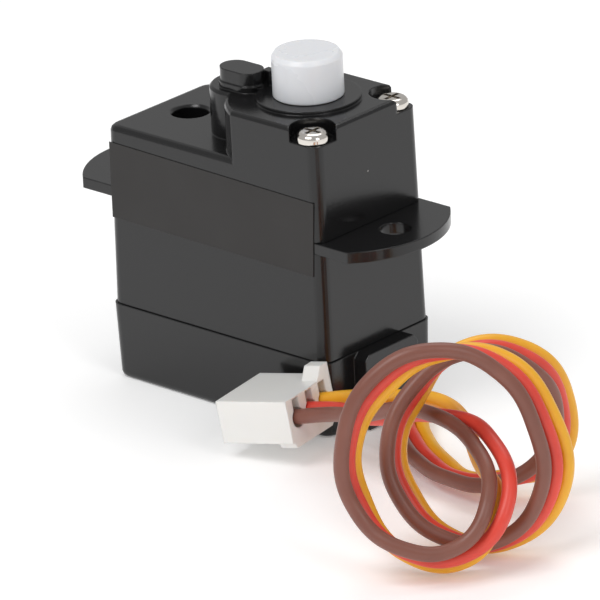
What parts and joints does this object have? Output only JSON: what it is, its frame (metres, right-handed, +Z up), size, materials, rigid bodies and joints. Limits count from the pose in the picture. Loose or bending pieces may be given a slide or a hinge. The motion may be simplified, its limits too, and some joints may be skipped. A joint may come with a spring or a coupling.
{
  "type": "servo motor",
  "caption": "Miniature hobby servo: black plastic case with screw ears, white output shaft on top, geared DC motor inside and coiled coloured leads ending in a small white connector.",
  "frame": {"origin": "middle of the case's footprint (of its bounding box with the ears), on the underside of the bottom cover", "axes": "+Z up along the output shaft, +X along the length of the case towards the end with the output shaft and the lead outlet, +Y across the case"},
  "size_m": [0.058, 0.0324, 0.0295],
  "materials": {
    "board_green": "gloss",
    "brass": "satin",
    "can_steel": "satin",
    "carbon": "matte",
    "case_black": "satin",
    "chip_black": "matte",
    "chip_tan": "matte",
    "copper": "satin",
    "gear_white": "satin",
    "iron": "satin",
    "ivory_plastic": "satin",
    "label_black": "matte",
    "lead_brown": "satin",
    "lead_red": "satin",
    "lead_yellow": "satin",
    "plug_white": "satin",
    "pot_green": "matte",
    "screw_nickel": "polished",
    "shaft_white": "satin",
    "steel": "satin",
    "tin": "satin",
    "wire_blue": "satin"
  },
  "bodies": {
    "case": {"top_cover": "case_black", "middle_case": "case_black", "bottom_cover": "case_black", "side_label": "label_black", "corner_screws": "screw_nickel", "deck_screw": "screw_nickel", "idler_pin": "steel", "motor_can": "can_steel", "motor_magnets": "iron", "motor_end_cap": "ivory_plastic", "motor_brushes": "brass", "motor_terminals": "tin", "pot_housing": "pot_green", "pot_track": "carbon", "pot_terminals": "tin", "control_board": "board_green", "board_chips": "chip_black", "board_passives": "chip_tan", "motor_leads": "lead_red", "pot_leads": "wire_blue", "lead_brown": "lead_brown", "lead_red": "lead_red", "lead_yellow": "lead_yellow", "connector_housing": "plug_white", "connector_contacts": "tin"},
    "output": {"output_gear": "shaft_white", "pot_shaft": "gear_white", "pot_wiper": "brass"},
    "third": {"third_gear": "gear_white"},
    "second": {"second_gear": "gear_white"},
    "first": {"first_gear": "gear_white"},
    "rotor": {"motor_pinion": "brass", "motor_shaft": "steel", "armature_core": "iron", "armature_windings": "copper", "commutator": "copper"}
  },
  "joints": [
    {"name": "output_turn", "type": "hinge", "parent": "case", "child": "output", "pos_m": [0.00526, 0, 0.0255], "axis": [0, 0, 1], "range_deg": [-90.01, 90.01]},
    {"name": "third_gear_turn", "type": "hinge", "parent": "case", "child": "third", "pos_m": [-0.00071, -0.0006, 0.0215], "axis": [0, 0, 1], "range_deg": [-270.03, 270.03]},
    {"name": "second_gear_turn", "type": "hinge", "parent": "case", "child": "second", "pos_m": [0.00526, 0, 0.0192], "axis": [0, 0, 1], "range_deg": [-412.15, 412.15]},
    {"name": "first_gear_turn", "type": "hinge", "parent": "case", "child": "first", "pos_m": [-0.00071, -0.0006, 0.0176], "axis": [0, 0, 1], "range_deg": [-1236.45, 1236.45]},
    {"name": "rotor_spin", "type": "hinge", "parent": "case", "child": "rotor", "pos_m": [-0.00517, 0, 0.01], "axis": [0, 0, 1], "range_deg": [-5717.96, 5717.96]}
  ],
  "couplings": [
    {"joint": "output_turn", "follows": "rotor_spin", "ratio": 0.01574},
    {"joint": "third_gear_turn", "follows": "rotor_spin", "ratio": -0.04722},
    {"joint": "second_gear_turn", "follows": "rotor_spin", "ratio": 0.072072},
    {"joint": "first_gear_turn", "follows": "rotor_spin", "ratio": -0.21622}
  ]
}
